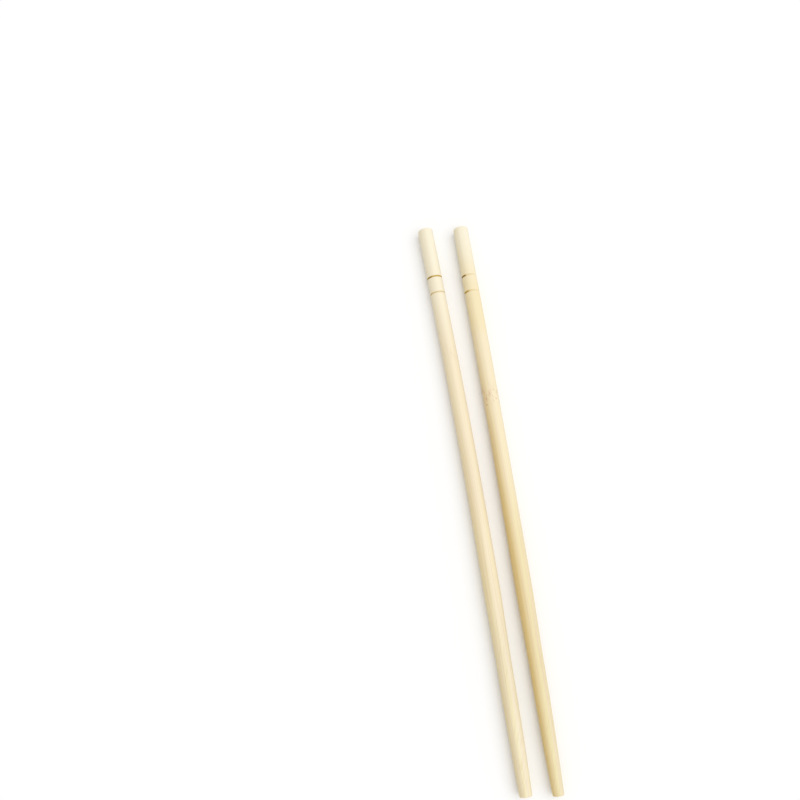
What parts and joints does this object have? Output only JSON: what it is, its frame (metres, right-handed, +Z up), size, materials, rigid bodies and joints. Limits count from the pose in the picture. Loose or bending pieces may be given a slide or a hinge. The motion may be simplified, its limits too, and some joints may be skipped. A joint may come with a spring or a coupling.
{
  "type": "bamboo chopsticks",
  "caption": "Slim round bamboo chopsticks lying side by side, each with scored rings near the handle end and a long taper to a blunt tip.",
  "frame": {"origin": "on the table, under the middle of the pair's bounding box", "axes": "+Z up from the table; the sticks lie along Y with their handle ends toward +Y and tips toward -Y"},
  "size_m": [0.0188, 0.1962, 0.0055],
  "materials": {
    "bamboo": "smooth sanded, unvarnished"
  },
  "bodies": {
    "root": {"left_chopstick": "bamboo", "right_chopstick": "bamboo"}
  },
  "joints": []
}
